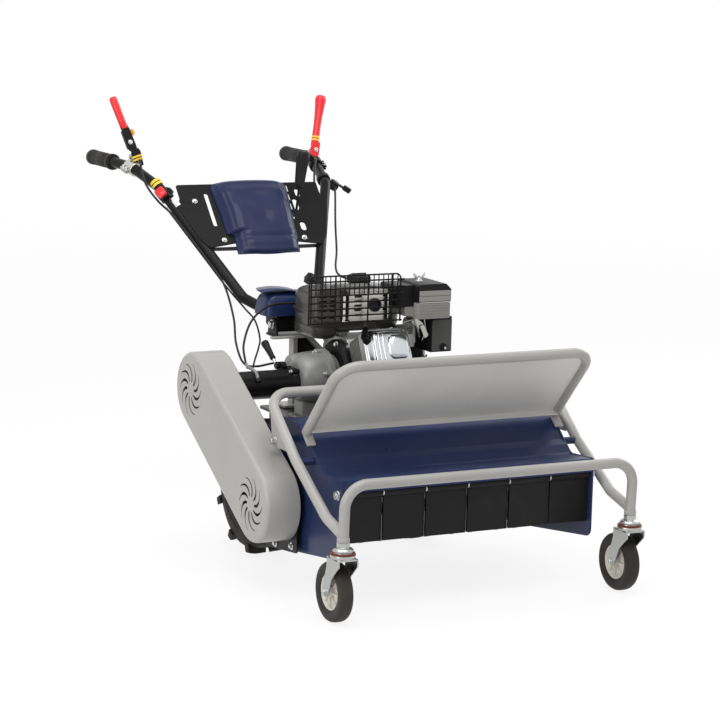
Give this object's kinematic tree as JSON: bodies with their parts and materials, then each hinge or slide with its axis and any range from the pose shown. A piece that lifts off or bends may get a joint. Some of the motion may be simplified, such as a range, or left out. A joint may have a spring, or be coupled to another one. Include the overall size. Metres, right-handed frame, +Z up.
{
  "type": "hammer knife mower",
  "caption": "Walk-behind hammer knife mower: flail deck on casters, petrol engine over driven rear wheels, and a tilting two-grip handlebar with a console.",
  "frame": {"origin": "centre of the machine's footprint box on the ground", "axes": "+Z up; +Y towards the operator's grips, so the mower drives towards -Y; +X to the operator's left"},
  "size_m": [0.7624, 1.5296, 0.9684],
  "materials": {
    "blue_paint": "navy blue powder coat, satin",
    "grey_paint": "light warm grey paint, satin",
    "black_paint": "black powder coat, satin",
    "bright_steel": "machined steel",
    "zinc_plate": "zinc plated pressed steel",
    "rim_steel": "pale painted pressed steel",
    "polished_metal": "bright pressed cover",
    "cast_aluminium": "bead-blasted casting",
    "muffler_steel": "heat-proof dark coating with a bare front plate",
    "black_plastic": "moulded black plastic, fine grain",
    "grey_plastic": "moulded dark grey plastic",
    "blue_plastic": "moulded navy blue plastic",
    "red_plastic": "moulded red plastic",
    "rubber": "moulded black rubber",
    "flap_rubber": "smooth reinforced rubber sheet",
    "tyre_rubber": "lugged tractor tyre",
    "cable_sheath": "black outer sheath"
  },
  "bodies": {
    "chassis": {"deck_shell": "blue_paint", "flap_rod": "bright_steel", "drive_belt": "rubber", "belt_case_back": "black_paint", "belt_cover": "grey_paint", "drive_tube": "black_paint", "caster_frame": "grey_paint", "front_guard": "grey_paint", "bed_frame": "black_paint", "axle_case": "cast_aluminium", "gearbox": "cast_aluminium", "clutch_housing": "black_plastic", "engine_block": "cast_aluminium", "valve_cover": "polished_metal", "blower_housing": "black_plastic", "recoil_cover": "black_plastic", "fuel_tank": "black_plastic", "muffler": "muffler_steel", "muffler_guard": "black_paint", "air_cleaner": "grey_plastic", "handle_mount": "black_paint"},
    "handlebar": {"handlebar_frame": "black_paint", "cowl": "blue_plastic", "grip_right": "rubber", "grip_left": "rubber", "console_bracket": "black_paint", "console_panel": "blue_plastic", "lever_clamp_right": "zinc_plate", "lever_clamp_left": "zinc_plate", "stop_switch": "black_plastic", "throttle_housing": "black_plastic", "clutch_cable": "cable_sheath", "belt_cable": "cable_sheath", "throttle_cable": "cable_sheath"},
    "front_flap_1": {"flap_1": "flap_rubber"},
    "front_flap_2": {"flap_2": "flap_rubber"},
    "front_flap_3": {"flap_3": "flap_rubber"},
    "front_flap_4": {"flap_4": "flap_rubber"},
    "front_flap_5": {"flap_5": "flap_rubber"},
    "front_flap_6": {"flap_6": "flap_rubber"},
    "cutter_rotor": {"rotor": "bright_steel"},
    "hammers_1": {"hammer_row_1": "bright_steel"},
    "hammers_2": {"hammer_row_2": "bright_steel"},
    "upper_pulley": {"drive_pulley": "bright_steel"},
    "right_caster": {"caster_fork_right": "zinc_plate"},
    "left_caster": {"caster_fork_left": "zinc_plate"},
    "right_caster_wheel": {"caster_wheel_right": "rubber"},
    "left_caster_wheel": {"caster_wheel_left": "rubber"},
    "right_wheel": {"rim_right": "rim_steel", "tyre_right": "tyre_rubber"},
    "left_wheel": {"rim_left": "rim_steel", "tyre_left": "tyre_rubber"},
    "drive_lever": {"pto_lever": "black_plastic"},
    "tank_cap": {"fuel_cap": "black_plastic"},
    "right_lever": {"hand_lever_right": "red_plastic"},
    "left_lever": {"hand_lever_left": "red_plastic"},
    "kill_button": {"stop_button": "red_plastic"},
    "throttle_paddle": {"throttle_lever": "black_plastic"},
    "shift_lever": {"gear_lever": "black_plastic"},
    "tube_knob": {"clamp_knob": "black_plastic"}
  },
  "joints": [
    {"name": "handle_tilt", "type": "hinge", "parent": "chassis", "child": "handlebar", "pos_m": [-0.02675, 0.08775, 0.47789], "axis": [1, 0, 0], "range_deg": [-6, 10], "deforming": ["clutch_cable", "belt_cable", "throttle_cable"]},
    {"name": "caster_swivel_right", "type": "hinge", "parent": "chassis", "child": "right_caster", "pos_m": [-0.32725, -0.73625, 0.14089], "axis": [0, 0, 1], "continuous": true},
    {"name": "caster_swivel_left", "type": "hinge", "parent": "chassis", "child": "left_caster", "pos_m": [0.35375, -0.73625, 0.14089], "axis": [0, 0, 1], "continuous": true},
    {"name": "caster_roll_right", "type": "hinge", "parent": "right_caster", "child": "right_caster_wheel", "pos_m": [-0.32725, -0.70225, 0.06239], "axis": [1, 0, 0], "continuous": true},
    {"name": "caster_roll_left", "type": "hinge", "parent": "left_caster", "child": "left_caster_wheel", "pos_m": [0.35375, -0.70225, 0.06239], "axis": [1, 0, 0], "continuous": true},
    {"name": "wheel_roll_right", "type": "hinge", "parent": "chassis", "child": "right_wheel", "pos_m": [-0.22375, -0.12225, 0.14989], "axis": [1, 0, 0], "continuous": true},
    {"name": "wheel_roll_left", "type": "hinge", "parent": "chassis", "child": "left_wheel", "pos_m": [0.17025, -0.12225, 0.14989], "axis": [1, 0, 0], "continuous": true},
    {"name": "drive_spin", "type": "hinge", "parent": "chassis", "child": "upper_pulley", "pos_m": [-0.33875, -0.07925, 0.37089], "axis": [1, 0, 0], "continuous": true},
    {"name": "rotor_spin", "type": "hinge", "parent": "chassis", "child": "cutter_rotor", "pos_m": [0.01325, -0.40625, 0.18289], "axis": [1, 0, 0], "continuous": true},
    {"name": "hammer_swing_1", "type": "hinge", "parent": "cutter_rotor", "child": "hammers_1", "pos_m": [0.01325, -0.40625, 0.13289], "axis": [1, 0, 0], "range_deg": [-90, 90]},
    {"name": "hammer_swing_2", "type": "hinge", "parent": "cutter_rotor", "child": "hammers_2", "pos_m": [0.01325, -0.40625, 0.23289], "axis": [1, 0, 0], "range_deg": [-90, 90]},
    {"name": "flap_swing_1", "type": "hinge", "parent": "chassis", "child": "front_flap_1", "pos_m": [0.01325, -0.63175, 0.24239], "axis": [1, 0, 0], "range_deg": [-60, 75]},
    {"name": "flap_swing_2", "type": "hinge", "parent": "chassis", "child": "front_flap_2", "pos_m": [0.01325, -0.63175, 0.24239], "axis": [1, 0, 0], "range_deg": [-60, 75]},
    {"name": "flap_swing_3", "type": "hinge", "parent": "chassis", "child": "front_flap_3", "pos_m": [0.01325, -0.63175, 0.24239], "axis": [1, 0, 0], "range_deg": [-60, 75]},
    {"name": "flap_swing_4", "type": "hinge", "parent": "chassis", "child": "front_flap_4", "pos_m": [0.01325, -0.63175, 0.24239], "axis": [1, 0, 0], "range_deg": [-60, 75]},
    {"name": "flap_swing_5", "type": "hinge", "parent": "chassis", "child": "front_flap_5", "pos_m": [0.01325, -0.63175, 0.24239], "axis": [1, 0, 0], "range_deg": [-60, 75]},
    {"name": "flap_swing_6", "type": "hinge", "parent": "chassis", "child": "front_flap_6", "pos_m": [0.01325, -0.63175, 0.24239], "axis": [1, 0, 0], "range_deg": [-60, 75]},
    {"name": "pto_throw", "type": "hinge", "parent": "chassis", "child": "drive_lever", "pos_m": [-0.14675, -0.04925, 0.40689], "axis": [1, 0, 0], "range_deg": [-15, 15]},
    {"name": "tank_cap_turn", "type": "hinge", "parent": "chassis", "child": "tank_cap", "pos_m": [0.06325, -0.01225, 0.58219], "axis": [0, 0, 1], "range_deg": [0, 90]},
    {"name": "right_lever_pull", "type": "hinge", "parent": "handlebar", "child": "right_lever", "pos_m": [-0.26675, 0.54575, 0.82789], "axis": [-0.9585, 0, -0.285], "range_deg": [0, 60], "stiffness_Nm_per_rad": 1.2, "springref_deg": -20.05},
    {"name": "left_lever_pull", "type": "hinge", "parent": "handlebar", "child": "left_lever", "pos_m": [0.21325, 0.54575, 0.82789], "axis": [-0.9585, 0, 0.285], "range_deg": [0, 60], "stiffness_Nm_per_rad": 1.2, "springref_deg": -20.05},
    {"name": "stop_press", "type": "slide", "parent": "handlebar", "child": "kill_button", "axis": [-0.6612, -0.6885, 0.2981], "range_m": [-0.003, 0], "stiffness_N_per_m": 500, "springref_m": 0.001},
    {"name": "throttle_sweep", "type": "hinge", "parent": "handlebar", "child": "throttle_paddle", "pos_m": [0.22887, 0.4547, 0.75881], "axis": [0.4648, -0.3758, 0.8018], "range_deg": [-45, 25]},
    {"name": "gear_shift", "type": "hinge", "parent": "handlebar", "child": "shift_lever", "pos_m": [0.08525, 0.37315, 0.69758], "axis": [1, 0, 0], "range_deg": [-12, 24]},
    {"name": "tube_knob_turn", "type": "hinge", "parent": "handlebar", "child": "tube_knob", "pos_m": [0.07022, 0.23183, 0.55004], "axis": [-0.8578, -0.071, 0.5091], "continuous": true}
  ],
  "couplings": [
    {"joint": "rotor_spin", "follows": "drive_spin", "ratio": 1.282}
  ]
}
